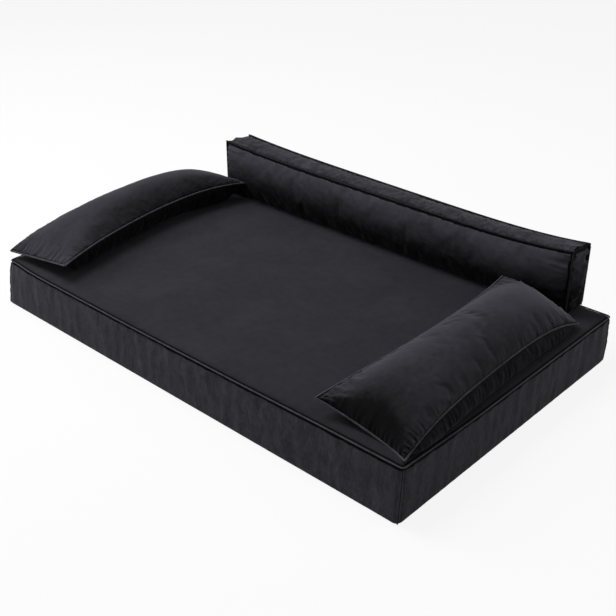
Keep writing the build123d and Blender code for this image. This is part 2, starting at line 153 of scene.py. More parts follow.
def cord(name, points, radius, body):
    """A round cord through a closed line of points."""
    points = np.asarray(points)
    count = len(points)
    along = np.roll(points, -1, 0) - np.roll(points, 1, 0)
    along /= np.linalg.norm(along, axis=1)[:, None]
    side = np.cross(along, (0, 0, 1))
    steep = np.linalg.norm(side, axis=1) < steep_share
    side[steep] = np.cross(along[steep], (0, 1, 0))
    side /= np.linalg.norm(side, axis=1)[:, None]
    up = np.cross(side, along)
    places = []
    for turn in range(cord_sides):
        angle = math.tau * turn / cord_sides
        places.append(points + radius * (math.cos(angle) * side + math.sin(angle) * up))
    places = np.stack(places, 1).reshape(-1, 3)
    faces = []
    for i in range(count):
        start, after = i * cord_sides, ((i + 1) % count) * cord_sides
        for j in range(cord_sides):
            k = (j + 1) % cord_sides
            faces.append((start + j, start + k, after + k, after + j))
    return piece(name, places, faces, body)


def set_finish(obj, finish):
    """Say which of its materials each face has."""
    while len(obj.data.materials) <= max(finish):
        obj.data.materials.append(None)
    obj.data.polygons.foreach_set("material_index", np.asarray(finish, np.int32))


def face_corners(obj):
    """The corners of each four-sided face."""
    corners = np.empty(len(obj.data.loops), np.int32)
    obj.data.loops.foreach_get("vertex_index", corners)
    return corners.reshape(-1, 4)


def open_for_zip(places, chain_low, chain_high, out, up):
    """Draw a cover in behind the tapes of its zip."""
    out, up = np.array(out), np.array(up)
    along = int(np.argmax(chain_high - chain_low))
    reach = places - np.array((chain_low + chain_high) / 2)
    half = (chain_high - chain_low)[along] / 2 - slot_end_room
    share = np.clip((slot_half + slot_ease + slot_lip - np.abs(reach @ up)) / slot_lip, 0, 1)
    share *= np.clip((half - np.abs(reach[:, along])) / slot_lip, 0, 1)
    move = np.minimum(0, -slot_depth - reach @ out) * share
    return places + move[:, None] * out


def tuck(gap):
    """How deep the cover is drawn in at a distance from its cord: most a little beside it."""
    return dips(gap, tuck_dips)


def settle(obj, sewn, pressure, slack):
    """The cover settles as cloth over its filling, held at its seams, and no point moves past a cap."""
    mesh = obj.data
    start = np.array([vertex.co for vertex in mesh.vertices])
    held = obj.vertex_groups.new(name="sewn")
    held.add([int(i) for i in sewn], 1.0, "REPLACE")
    cloth = obj.modifiers.new("cloth", "CLOTH")
    cloth.settings.vertex_group_mass = "sewn"
    cloth.settings.quality = 6
    cloth.settings.mass = 0.15
    cloth.settings.tension_stiffness = 20
    cloth.settings.compression_stiffness = 20
    cloth.settings.bending_stiffness = 0.4
    cloth.settings.use_pressure = True
    cloth.settings.uniform_pressure_force = pressure
    cloth.settings.shrink_min = -slack
    cloth.settings.effector_weights.gravity = 0
    cloth.collision_settings.use_collision = False
    cloth.point_cache.frame_start = 1
    cloth.point_cache.frame_end = sim_frames
    scene = bpy.context.scene
    for number in range(1, sim_frames + 1):
        scene.frame_set(number)
    settled = obj.evaluated_get(bpy.context.evaluated_depsgraph_get())
    end = np.array([vertex.co for vertex in settled.data.vertices])
    moved = end - start
    length = np.linalg.norm(moved, axis=1)[:, None]
    moved *= np.minimum(1, settle_cap / np.maximum(length, tiny))
    obj.modifiers.remove(cloth)
    obj.vertex_groups.remove(held)
    scene.frame_set(1)
    put_places(obj, start + moved)
    return start + moved


def put_places(obj, places):
    """Write all the places of a mesh."""
    obj.data.vertices.foreach_set("co", np.asarray(places, np.float32).ravel())
    obj.data.update()


# Mattress
welt_low, welt_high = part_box("base_welt")
cord_radius = (welt_high.z - welt_low.z) / 2
mattress_half = np.array([welt_high.x, welt_high.y]) - cord_radius
seam_raise = 0.0015
mattress_seam = (welt_low.z + welt_high.z) / 2 + seam_raise
mattress_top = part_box("base_top_panel")[1].z
mattress_corner = 0.007
foot_radius = 0.003
wall_bulge = 0.0015
front_flare = 0.0065
flare_reach = 0.10
corner_draw_depth = 0.0065
corner_draw_reach = 0.07
corner_lift = 0.0065
corner_lift_reach = (0.36, 0.12)
top_round = 0.006
corner_points = 9
welt_step = 0.005

# Rows of faces: distances from an edge, and heights on the walls
edge_steps = (0, 0.0010, 0.0022, 0.0036, 0.0052, 0.0072, 0.011, 0.016, 0.022)
edge_spacing = 0.0058
foot_steps = (0, 0.0006, 0.0015, 0.003, 0.0055, 0.009)
seam_steps = (0.0095, 0.0072, 0.0058, 0.0045, 0.0033, 0.0021, 0.001, 0)
wall_margin = 0.012
wall_step = 0.005

# Creases: how far they reach from a seam or edge, where they start, and their rows for folds() or dips()
seam_reach = 0.025
foot_reach = 0.03
foot_share = 0.6
middle_share = 0.3
corner_reach = 0.02
pucker_reach = 0.018
crease_start = 0.006
crease_rise = 0.01
wall_folds = (((40, 40, 6), 3, 0.0013), ((95, 95, 16), 7, 0.0007))
corner_tugs = (((30, 30, 110), 9, 0.0007),)
corner_ridges = ((0.0016, 0, 0.0012), (-0.0018, 0.0048, 0.002))
top_waves = (((7, 7, 7), 11, 0.0006), ((19, 19, 19), 5, 0.0003))
top_puckers = (((60, 60, 60), 13, 0.0009),)
welt_waves = (((14, 14, 14), 8, 0.0005),)

# The slots that the zips sit in
zip_low, zip_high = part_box("base_zip_chain")
slot_half = 0.007
slot_lip = 0.002
slot_edge = 0.0006
slot_depth = 0.0016
slot_ease = 0.0015
slot_end_room = 0.006
slot_clearance = 0.0003
slot_floor = zip_low.y - slot_clearance
slot_middle = (zip_low.z + zip_high.z) / 2


def corner_draw(x, y):
    """How far the seam is drawn in near its front left corner."""
    gap = np.hypot(x + mattress_half[0], y + mattress_half[1])
    return corner_draw_depth * np.exp(-((gap / corner_draw_reach) ** 2))


def seam_lift(x, y):
    """How far the top stands up towards its front right corner."""
    along = (mattress_half[0] - x) / corner_lift_reach[0]
    inward = (y + mattress_half[1]) / corner_lift_reach[1]
    return corner_lift * np.exp(-(along**2) - inward**2)


def wall_levels():
    """Heights of the rows of faces on a wall, closer at the foot, the slot and the seam."""
    lips = (slot_half - slot_edge, slot_half + slot_edge)
    slot_edges = [slot_middle + side * lip for side in (-1, 1) for lip in lips]
    even = np.arange(wall_margin, mattress_seam - wall_margin, wall_step)
    even = [z for z in even if abs(abs(z - slot_middle) - slot_half) > slot_lip]
    near_seam = [mattress_seam - step for step in seam_steps]
    return np.array(sorted(list(foot_steps) + even + slot_edges + near_seam))


def wall_relief(places, below, past):
    """How far the walls stand out: a bulge, creases by the seam and the foot, and tugs at the corners."""
    z = places[:, 2]
    bulge = wall_bulge * np.sin(math.pi * np.clip(z / mattress_seam, 0, 1))
    gather = np.exp(-below / seam_reach) + foot_share * np.exp(-z / foot_reach) + middle_share
    gather *= np.clip(below / crease_start, 0, 1) * np.clip(z / crease_rise, 0, 1)
    creases = folds(places, wall_folds) * gather
    tugs = folds(places, corner_tugs) * np.exp(-past / corner_reach)
    return bulge + creases + dips(past, corner_ridges) + tugs


def top_height(places, edge):
    """Height of the top panel, which dips beside its cord, rises inside it and lies in soft waves."""
    rise = (mattress_top - mattress_seam) * (1 - np.exp(-edge / top_round))
    pucker = folds(places, top_puckers) * np.exp(-edge / pucker_reach)
    soft = (folds(places, top_waves, wobble) + pucker) * np.clip(edge / crease_rise, 0, 1)
    return mattress_seam - tuck(edge) + rise + soft


def mattress_cover():
    """The mattress: a soft box with tucked seams, puckered walls and a slot for its zip."""
    grid_x = fine_ends(mattress_half[0], edge_steps, edge_spacing)
    grid_y = fine_ends(mattress_half[1], edge_steps, edge_spacing)
    levels = wall_levels()
    counts = (len(grid_x) - 1, len(grid_y) - 1, len(levels) - 1)
    cells, quads = box_grid(counts)
    x, y, z = grid_x[cells[:, 0]], grid_y[cells[:, 1]], levels[cells[:, 2]]
    on_top, on_bottom = cells[:, 2] == counts[2], cells[:, 2] == 0
    edge_x, edge_y = mattress_half[0] - abs(x), mattress_half[1] - abs(y)
    edge = np.minimum(edge_x, edge_y)
    on_wall = edge < tiny
    walls = on_wall & ~on_top & ~on_bottom
    core = np.clip(np.stack([x, y], 1), mattress_corner - mattress_half, mattress_half - mattress_corner)
    out = np.stack([x, y], 1) - core
    reach = np.abs(out).max(1)
    length = np.linalg.norm(out, axis=1)
    direction = out / np.maximum(length, tiny)[:, None]
    places = np.stack([x, y, z], 1)
    below = mattress_seam - z

    inset = np.where(on_bottom | (on_top & ~on_wall), 0, tuck(below))
    low = np.clip(foot_radius - z, 0, foot_radius)
    inset += np.where(on_wall, foot_radius - np.sqrt(foot_radius**2 - low**2), 0)
    past = np.maximum(edge_x, edge_y)
    inset -= np.where(walls, wall_relief(places, below, past), 0)
    inset = np.where(on_bottom & ~on_wall, foot_radius * reach / mattress_corner, inset)
    plan = core + direction * (reach - inset)[:, None]
    flare = front_flare * np.clip((flare_reach - mattress_half[1] - y) / flare_reach, 0, 1)
    plan[:, 1] -= np.where(on_wall & ~on_top, flare * np.clip(below / mattress_seam, 0, 1), 0)
    plan[:, 1] -= np.where(on_bottom & ~on_wall, flare, 0)
    plan += (corner_draw(x, y) * np.clip(z / mattress_seam, 0, 1))[:, None]

    height = np.where(on_top, top_height(places, edge), z)
    height += seam_lift(x, y) * np.clip(z / mattress_seam, 0, 1) ** 2
    places = np.column_stack([plan, height])

    in_slot = (abs(x) < zip_high.x - slot_end_room - slot_lip) & (abs(z - slot_middle) < slot_half)
    places[on_wall & (y > 0) & in_slot, 1] = slot_floor
    cover = piece("mattress_cover", places, quads, "base")
    for name in ("top_panel", "bottom_panel", "front_boxing", "right_boxing", "left_boxing", "back_boxing"):
        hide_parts(f"base_{name}")
    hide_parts("base_support_foam", "base_comfort_foam")
    quads = np.array(quads)
    gap = np.where(on_top, edge, below)
    finish = np.zeros(len(quads), int)
    finish[on_top[quads].all(1)] = 1
    finish[on_bottom[quads].all(1)] = 2
    # Faces beside the cord and along the corner seams get finish 3, the near-black velvet: painted seam shade
    finish[gap[quads].max(1) < np.where(finish == 1, top_seam_shade_width, wall_seam_shade_width)] = 3
    finish[on_wall[quads].all(1) & (past[quads].max(1) < corner_seam_shade_width)] = 3
    set_finish(cover, finish)
    return cover


def rounded_rectangle(half, corner, level, step):
    """Points round a rectangle with rounded corners."""
    points = []
    for turn in range(4):
        sign_x, sign_y = ((1, -1), (1, 1), (-1, 1), (-1, -1))[turn]
        centre = np.array([sign_x * (half[0] - corner), sign_y * (half[1] - corner)])
        first = (turn - 1) * math.pi / 2
        for angle in np.linspace(first, first + math.pi / 2, corner_points):
            points.append([*(centre + corner * np.array([math.cos(angle), math.sin(angle)])), level])
        length = 2 * (half[(turn + 1) % 2] - corner)
        count = round(length / step)
        last = np.array(points[-1][:2])
        heading = np.array([-math.sin(first + math.pi / 2), math.cos(first + math.pi / 2)])
        for i in range(1, count):
            points.append([*(last + heading * length * i / count), level])
    return np.array(points)


mattress = mattress_cover()
welt_line = rounded_rectangle(mattress_half, mattress_corner, mattress_seam, welt_step)
welt_line[:, 2] += folds(welt_line, welt_waves, wobble)
welt_line[:, 2] += seam_lift(welt_line[:, 0], welt_line[:, 1])
welt_line[:, :2] += corner_draw(welt_line[:, 0], welt_line[:, 1])[:, None]
mattress_piping = cord("mattress_piping", welt_line, mattress_cord_thickness, "base")
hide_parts("base_welt")

# Bolster
front_low, front_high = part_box("bolster_front_welt")
back_low, back_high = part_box("bolster_back_welt")
bolster_front = (front_low.y + front_high.y) / 2
bolster_back = (back_low.y + back_high.y) / 2
bolster_stretch = 0.003
bolster_half = front_high.x - cord_radius + bolster_stretch
bolster_middle = 0.006
bolster_floor = front_low.z + cord_radius
bolster_end_top = front_high.z - cord_radius
bolster_zip_low, bolster_zip_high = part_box("bolster_zip_chain")
bolster_zip_middle = (bolster_zip_low.z + bolster_zip_high.z) / 2
face_bulges = {"front": 0.015, "back": 0.004, "top": 0.006, "end": 0.005, "far": 0.005}
long_power = 8
top_power = 10
round_power = 2
swell_power = 2.6
swell_shape = 0.62

# The sag of the top edges: how deep, how much of it at the middle, and how it grows to the right
sag_power = 4
front_sag = 0.014
front_sag_share = 0.9
front_sag_growth = 0.25
front_left_drop = 0.004
back_drop = 0.0045
back_tilt = 0.0015
back_sag = 0.015
back_sag_share = 0.82
back_sag_growth = 0.3
taper_depth = 0.014
taper_power = 6

# Rows of faces, and the points of the piping
bolster_end_steps = (0, 0.0015, 0.0035, 0.006, 0.009, 0.013, 0.018)
bolster_spacing = 0.0065
bolster_rows = (14, 30)
piping_points = 150
piping_end_points = 24

# The cloth over the foam, and the part of the back that is held still for the zip
bolster_pressure = 2.0
bolster_slack = 0.008
held_past_zip = 0.02
held_height = 0.016
still_height = 0.018
still_depth = 0.01

# Pleats: their reach from a seam, and their rows for folds()
end_pleat_reach = 0.026
top_pleat_reach = 0.014
foot_pleat_reach = 0.02
end_pleats = (((14, 40, 80), 21, 0.0042),)
top_pleats = (((70, 20, 14), 23, 0.0011),)
foot_pleats = (((60, 20, 14), 25, 0.0014),)
bolster_waves = (((11, 11, 17), 27, 0.0014),)
pleat_start = 0.006
bolster_tuck_share = 0.8
facing_up = 0.7
facing_back = 0.6


def swell(share, power=swell_power, shape=swell_shape):
    """A puffed profile over a share from 0 to 1, nothing at both ends."""
    return (1 - np.abs(2 * share - 1) ** power) ** shape


def front_top(x):
    """Height of the front top edge, which sags a little between its ears."""
    s = (x - bolster_middle) / bolster_half
    sag = front_sag * (1 - s**sag_power) * (front_sag_share + front_sag_growth * s)
    return bolster_end_top - sag - front_left_drop * (1 - s) / 2


def back_top(x):
    """Height of the back top edge, which sags more, most of all right of the middle."""
    s = (x - bolster_middle) / bolster_half
    sag = back_sag * (1 - s**sag_power) * (back_sag_share + back_sag_growth * s)
    return bolster_end_top - back_drop - back_tilt * s - sag


def back_taper(along):
    """How far the left end of the back edge is drawn in."""
    return taper_depth * (1 - along) ** taper_power


def bolster_cover():
    """The bolster: puffed faces between piped edges, with a sagging top."""
    grid_x = fine_ends(bolster_half, bolster_end_steps, bolster_spacing) + bolster_middle
    counts = (len(grid_x) - 1, *bolster_rows)
    cells, quads = box_grid(counts)
    x = grid_x[cells[:, 0]]
    across = (1 - np.cos(math.pi * cells[:, 1] / counts[1])) / 2
    up = (1 - np.cos(math.pi * cells[:, 2] / counts[2])) / 2
    y = bolster_front + (bolster_back - bolster_front) * across
    top = front_top(x) * (1 - across) + back_top(x) * across
    level = bolster_end_top - bolster_floor
    z = bolster_floor + level * up + (top - bolster_floor - level) * up**3
    places = np.stack([x, y, z], 1)
    along = ((x - bolster_middle) / bolster_half + 1) / 2
    places[:, 0] += back_taper(along) * across
    faces = {
        "front": (cells[:, 1] == 0, (0, -1, 0), swell(along, long_power) * swell(up)),
        "back": (cells[:, 1] == counts[1], (0, 1, 0), swell(along, long_power) * swell(up)),
        "top": (cells[:, 2] == counts[2], (0, 0, 1), swell(along, top_power) * swell(across, round_power, 1)),
        "end": (cells[:, 0] == counts[0], (1, 0, 0), swell(across) * swell(up)),
        "far": (cells[:, 0] == 0, (-1, 0, 0), swell(across) * swell(up)),
    }
    seam = np.zeros(len(x), int)
    for mask, _, _ in faces.values():
        seam += mask
    seam += cells[:, 2] == 0
    moved = places.copy()
    for name, (mask, direction, shape) in faces.items():
        moved += (mask * face_bulges[name] * shape)[:, None] * np.array(direction)
    cover = piece("bolster_cover", moved, quads, "bolster")
    held = (abs(x) < bolster_zip_high.x + held_past_zip) & (abs(z - bolster_zip_middle) < held_height)
    by_zip = (cells[:, 1] == counts[1]) & held
    settle(cover, np.nonzero((seam >= 2) | by_zip)[0], bolster_pressure, bolster_slack)
    return cover


bolster = bolster_cover()
for name in ("foam", "front_panel", "back_panel", "left_end", "right_end", "top_boxing", "bottom_boxing"):
    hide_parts(f"bolster_{name}")


def pucker_bolster():
    """Pleats at the bolster's seams: across its end seams and along its top and foot."""
    places, normals = refine(bolster)
    x, y, z = places.T
    top = front_top(x) + (back_top(x) - front_top(x)) * (y - bolster_front) / (bolster_back - bolster_front)
    to_end = bolster_half - abs(x - bolster_middle)
    to_top = np.abs(top - z)
    to_foot = z - bolster_floor
    to_face = np.minimum(abs(y - bolster_front), abs(bolster_back - y))
    pleats = folds(places, end_pleats) * np.exp(-np.maximum(to_end, 0) / end_pleat_reach)
    pleats += folds(places, top_pleats) * np.exp(-to_top / top_pleat_reach)
    pleats += folds(places, foot_pleats) * np.exp(-np.maximum(to_foot, 0) / foot_pleat_reach)
    pleats += folds(places, bolster_waves, wobble)
    seam_gap = np.sort(np.stack([np.abs(to_end), to_top, to_foot, to_face]), 0)[1]
    shift = pleats * np.clip(seam_gap / pleat_start, 0, 1) - bolster_tuck_share * tuck(seam_gap)
    by_zip = (abs(z - bolster_zip_middle) < still_height) & (abs(x) < bolster_zip_high.x + held_past_zip)
    shift = np.where(by_zip & (y > bolster_back - still_depth), 0, shift)
    places += normals * shift[:, None]
    places[:, 2] = np.maximum(places[:, 2], bolster_floor - cord_radius)
    places = open_for_zip(places, bolster_zip_low, bolster_zip_high, (0, 1, 0), (0, 0, 1))
    put_places(bolster, places)
    corners = face_corners(bolster)
    finish = np.zeros(len(corners), int)
    # Faces that look up or back get velvets without painted shade; the rest keep the velvet with painted
    # shade towards the foot, and faces beside a seam get painted seam shade
    finish[normals[corners, 2].mean(1) > facing_up] = 1
    finish[normals[corners, 1].mean(1) > facing_back] = 3
    finish[seam_gap[corners].mean(1) < bolster_seam_shade_width] = 2
    set_finish(bolster, finish)


pucker_bolster()


def bolster_piping(name, face, edge, proud):
    """The cord round a face of the bolster, standing a little proud over its top."""
    xs = np.linspace(-1, 1, piping_points) * bolster_half + bolster_middle
    taper = back_taper(np.linspace(0, 1, piping_points)) * (face == bolster_back)
    over = [(x + inward, face + proud / 2, edge(x) + proud) for x, inward in zip(xs, taper)]
    down = [(xs[-1], face, z) for z in np.linspace(over[-1][2], bolster_floor, piping_end_points)[1:]]
    under = [(x + inward, face, bolster_floor) for x, inward in zip(xs[::-1][1:], taper[::-1][1:])]
    rise = np.linspace(bolster_floor, over[0][2], piping_end_points)[1:-1]
    climb = [(xs[0] + taper[0], face, z) for z in rise]
    made = cord(f"bolster_{name}_piping", over + down + under + climb, cord_thickness + proud, "bolster")
    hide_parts(f"bolster_{name}_welt")
    return made


bolster_pipings = [
    bolster_piping("front", bolster_front, front_top, proud=0),
    bolster_piping("back", bolster_back, back_top, proud=0.0008),
]

# Pillows
pillow_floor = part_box("left_pillow_bottom")[0].z
zip_out, zip_up = (-0.935, 0, -0.355), (-0.355, 0, 0.935)
pillow_rows = (56, 130)
row_crowding = (0.75, 0.5)
bow_middle = 0.15
bow_powers = (1.6, 2.5)
side_power = 4
end_power = 3

# The profile of the top: its right side and its back end
right_hill_power = 0.52
back_hill_powers = (2.4, 0.66)

# The walls of the lower half, from the seam in to the foot
end_run = 0.045
end_wall_power = 1.6
left_wall_power = 1.15
right_wall_power = 2.0
belly_power = 6
belly_start = 0.2
belly_span = 0.7
side_puff = 0.006

# The cloth, and the part of the lower half that is held still for the zip
pillow_pressure = 3.0
pillow_slack = 0.005
zip_side_room = 0.008
zip_end_reach = 0.17
foot_room = 0.002

# Pleats: their scales, heights and reach from the seam, and where they start
pillow_seam_shade_width = 0.0034
streak_share = 0.16
streak_shift = (0, 0, 0.3)
small_pleat_scale, small_pleat_height, small_pleat_reach = 120, 0.0013, 0.013
wide_pleat_scale, wide_pleat_height, wide_pleat_reach = 42, 0.0008, 0.026
deep_pleat_scale, deep_pleat_height, deep_pleat_start = 90, 0.0022, 0.01
deep_pleat_foot = 0.012
end_pleat_run = 0.08
end_pleat_growth = 1.2
pillow_pleat_start = 0.007
seam_dip = 0.0018
seam_dip_width = 0.003
cord_gap = 0.0006
pillow_wave_scales, pillow_wave_height, pillow_wave_start = (14, 9, 14), 0.0009, 0.02


def fullness(s, power):
    """1 midway along an edge, falling to 0 at its tips."""
    return 1 - np.abs(s) ** power


def bow(s):
    """1 a little behind the middle of a long edge, falling to 0 at its tips, faster towards the back."""
    share = np.where(s < bow_middle, (bow_middle - s) / (1 + bow_middle), (s - bow_middle) / (1 - bow_middle))
    return 1 - np.clip(share, 0, 1) ** np.where(s < bow_middle, *bow_powers)


def crowd(count, share):
    """Places from -1 to 1 that lie closer together towards both ends."""
    even = np.linspace(-1, 1, count + 1)
    return (1 - share) * even + share * np.sin(math.pi / 2 * even)


def seam_sheet(tips, u, v, side_draws, side_rises, end_draws, end_rises):
    """A sheet between the four seams of a pillow, which are drawn in and rise between its tips."""
    tips = np.array(tips)
    wu, wv = ((u + 1) / 2)[..., None], ((v + 1) / 2)[..., None]
    sides = [
        (1 - wv) * tips[k][0] + wv * tips[k][1]
        + bow(v)[..., None] * np.array([side_draws[k] * (1 - 2 * k), 0, 0])
        + fullness(v, side_power)[..., None] * np.array([0, 0, side_rises[k]])
        for k in (0, 1)
    ]
    ends = [
        (1 - wu) * tips[0][k] + wu * tips[1][k]
        + fullness(u, end_power)[..., None] * np.array([0, end_draws[k] * (1 - 2 * k), end_rises[k]])
        for k in (0, 1)
    ]
    flat = (1 - wu) * ((1 - wv) * tips[0][0] + wv * tips[0][1])
    flat = flat + wu * ((1 - wv) * tips[1][0] + wv * tips[1][1])
    return (1 - wu) * sides[0] + wu * sides[1] + (1 - wv) * ends[0] + wv * ends[1] - flat


def pillow_halves(sheet, u, v, wall_runs, crown, skew, blunt, steep, knife, belly):
    """The upper half, a hill on the sheet, and the lower half, with walls down to a flat foot.

    Blunt and steep shape the front end of the hill, knife its left side, and belly the bulge of the
    lower right wall.
    """
    x, y, level = sheet[..., 0], sheet[..., 1], sheet[..., 2]
    lean = u + skew * (1 - u**2)
    hill = (1 - lean**2) ** np.where(lean < 0, knife, right_hill_power)
    ends_hill = 1 - np.abs(v) ** np.where(v < 0, blunt, back_hill_powers[0])
    top = level + crown * hill * ends_hill ** np.where(v < 0, steep, back_hill_powers[1])
    half, reach = np.ptp(x, 0) / 2, np.ptp(y, 1)[:, None] / 2
    wall = (1 - np.abs(u)) * half / np.where(u < 0, *wall_runs)
    wall = 1 - (1 - np.clip(wall, 0, 1)) ** np.where(u < 0, left_wall_power, right_wall_power)
    end = 1 - (1 - np.clip((1 - np.abs(v)) * reach / end_run, 0, 1)) ** end_wall_power
    under = level - (level - pillow_floor) * np.minimum(1, wall * end)
    paunch = belly * np.clip((u - belly_start) / belly_span, 0, 1) * wall + side_puff * np.sin(math.pi * wall)
    paunch *= np.where(u > 0, 1, 0) * fullness(v, belly_power)
    return np.stack([x, y, top], -1), np.stack([x + paunch, y, under], -1)


def sewn_sheets(upper, lower):
    """Places and quads of two sheets that share their edge, and the ring of places along that edge."""
    count_u, count_v = pillow_rows
    size = (count_u + 1) * (count_v + 1)
    above = np.arange(size).reshape(count_u + 1, count_v + 1)
    inner = np.zeros(above.shape, bool)
    inner[1:-1, 1:-1] = True
    below = above.copy()
    below[inner] = size + np.arange(inner.sum())
    places = np.vstack([upper.reshape(-1, 3), lower[inner]])
    quads = []
    for i in range(count_u):
        for j in range(count_v):
            quads.append((above[i, j], above[i + 1, j], above[i + 1, j + 1], above[i, j + 1]))
            quads.append((below[i, j], below[i, j + 1], below[i + 1, j + 1], below[i + 1, j]))
    quads = [[int(corner) for corner in quad] for quad in quads]
    ring = list(above[:, 0]) + list(above[-1, 1:]) + list(above[-2::-1, -1]) + list(above[0, -2:0:-1])
    return places, quads, ring


def beside_zip(places, chain_low, chain_high):
    """Which places of a pillow lie near its zip."""
    middle = (chain_low.y + chain_high.y) / 2
    return (places[:, 0] < chain_high.x + zip_side_room) & (abs(places[:, 1] - middle) < zip_end_reach)


def nearest(places, line):
    """Distance from each place to a closed line of points, and the place along the line."""
    steps = np.linalg.norm(np.roll(line, -1, 0) - line, axis=1)
    run = np.concatenate([[0], np.cumsum(steps)[:-1]])
    tree = kdtree.KDTree(len(line))
    for i, point in enumerate(line):
        tree.insert(point, i)
    tree.balance()
    found = [tree.find(place) for place in places]
    return np.array([hit[2] for hit in found]), run[[hit[1] for hit in found]]


def pillow_pleats(places, gap, along, to_end, lower_half, seed):
    """How far pleats move a pillow's cover: small and wide ones above its seam, deep ones below it."""
    streaks = np.stack([along, gap * streak_share, np.zeros(len(gap))], 1)
    pleats = ridges(streaks + np.array(streak_shift), small_pleat_scale, seed) * small_pleat_height
    pleats *= np.exp(-gap / small_pleat_reach)
    wide = ridges(streaks, wide_pleat_scale, seed + 5) * wide_pleat_height
    pleats += wide * np.exp(-gap / wide_pleat_reach)
    pleats *= 1 + end_pleat_growth * np.clip(1 - to_end / end_pleat_run, 0, 1)
    deep = ridges(streaks, deep_pleat_scale, seed + 9) * deep_pleat_height
    deep *= np.clip(gap / deep_pleat_start, 0, 1)
    deep *= np.clip((places[:, 2] - pillow_floor) / deep_pleat_foot, 0, 1)
    shift = np.where(lower_half, deep, pleats) * np.clip(gap / pillow_pleat_start, 0, 1)
    shift -= seam_dip * np.exp(-((gap / seam_dip_width) ** 2)) * np.clip(gap / cord_gap, 0, 1)
    waves = wobble(places, pillow_wave_scales, seed + 2) * pillow_wave_height
    return shift + waves * np.clip(gap / pillow_wave_start, 0, 1)


def pucker_pillow(cover, line, middle, half_length, chain_low, chain_high, seed):
    """Pleats from a pillow's seam line, the finish of its halves, and a slot for its zip."""
    places, normals = refine(cover)
    gap, along = nearest(places, line)
    corners = face_corners(cover)
    # Quads of the upper and lower half take turns, and refine() made four of each
    finish = (np.arange(len(corners)) // 4) % 2
    lower_half = np.zeros(len(places), bool)
    lower_half[corners[finish == 1]] = True
    # Finish 1, the lower half, is painted shade under the pillow; faces of the upper half beside the seam get
    # finish 2, painted seam shade
    finish[(gap[corners].mean(1) < pillow_seam_shade_width) & (finish == 0)] = 2
    set_finish(cover, finish)
    to_end = half_length - abs(places[:, 1] - middle)
    shift = pillow_pleats(places, gap, along, to_end, lower_half, seed)
    shift = np.where(beside_zip(places, chain_low, chain_high) & lower_half, 0, shift)
    places += normals * shift[:, None]
    places[:, 2] = np.maximum(places[:, 2], pillow_floor)
    put_places(cover, open_for_zip(places, chain_low, chain_high, zip_out, zip_up))


def pillow_cover(name, tips, seams, halves, seed):
    """A pillow of two sheets sewn at their edges: drawn-in sides, drooping tips and a flat foot.

    Pairs of values are for the left and the right side, or the front and the back end.
    """
    rows = [crowd(count, share) for count, share in zip(pillow_rows, row_crowding)]
    u, v = np.meshgrid(*rows, indexing="ij")
    sheet = seam_sheet(tips, u, v, **seams)
    places, quads, ring = sewn_sheets(*pillow_halves(sheet, u, v, **halves))
    cover = piece(f"{name}_cover", places, quads, name)
    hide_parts(*[f"{name}_{part}" for part in ("fill", "top", "bottom")])

    chain_low, chain_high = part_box(f"{name}_zip_chain")
    in_lower = np.arange(len(places)) >= u.size
    above_foot = places[:, 2] > pillow_floor + foot_room
    by_zip = beside_zip(places, chain_low, chain_high) & in_lower & above_foot
    held = ring + list(np.nonzero(by_zip)[0])
    places = settle(cover, held, pillow_pressure, pillow_slack)
    places[:, 2] = np.maximum(places[:, 2], pillow_floor)
    put_places(cover, places)

    half_length = np.ptp(sheet[..., 1], 1).mean() / 2
    pucker_pillow(cover, places[ring], places[:, 1].mean(), half_length, chain_low, chain_high, seed)
    piping = cord(f"{name}_piping", places[ring], cord_thickness, name)
    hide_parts(f"{name}_welt")
    return cover, piping


# The tips of each pillow: left front, left back, right front, right back
left_tips = (
    ((-0.520, -0.301, 0.113), (-0.515, 0.238, 0.125)),
    ((-0.333, -0.294, 0.138), (-0.373, 0.240, 0.146)),
)
right_tips = (
    ((0.337, -0.304, 0.138), (0.330, 0.238, 0.147)),
    ((0.514, -0.305, 0.109), (0.500, 0.226, 0.110)),
)
left_pillow, left_piping = pillow_cover(
    "left_pillow",
    left_tips,
    seams=dict(
        side_draws=(0.004, 0.040),
        side_rises=(0.030, 0.009),
        end_draws=(0.006, 0.006),
        end_rises=(-0.004, 0.004),
    ),
    halves=dict(
        wall_runs=(0.019, 0.019),
        crown=0.0375,
        skew=0.13,
        blunt=1.7,
        steep=0.66,
        knife=0.52,
        belly=0,
    ),
    seed=31,
)
right_pillow, right_piping = pillow_cover(
    "right_pillow",
    right_tips,
    seams=dict(
        side_draws=(0.018, 0.012),
        side_rises=(0.004, 0.027),
        end_draws=(0.016, 0.004),
        end_rises=(-0.010, 0.008),
    ),
    halves=dict(
        wall_runs=(0.019, 0.007),
        crown=0.046,
        skew=0,
        blunt=8.0,
        steep=0.45,
        knife=1.1,
        belly=0.020,
    ),
    seed=51,
)

# Zips: the teeth on the rows of each chain
tooth_pitch = 0.0025
tooth_half = (0.0005, 0.0016)
tooth_rise = (0.0009, 0.00164)
tooth_reach = 0.0012
tooth_bevel = 0.0003
row_short = 0.035
tape_offset = 0.00065


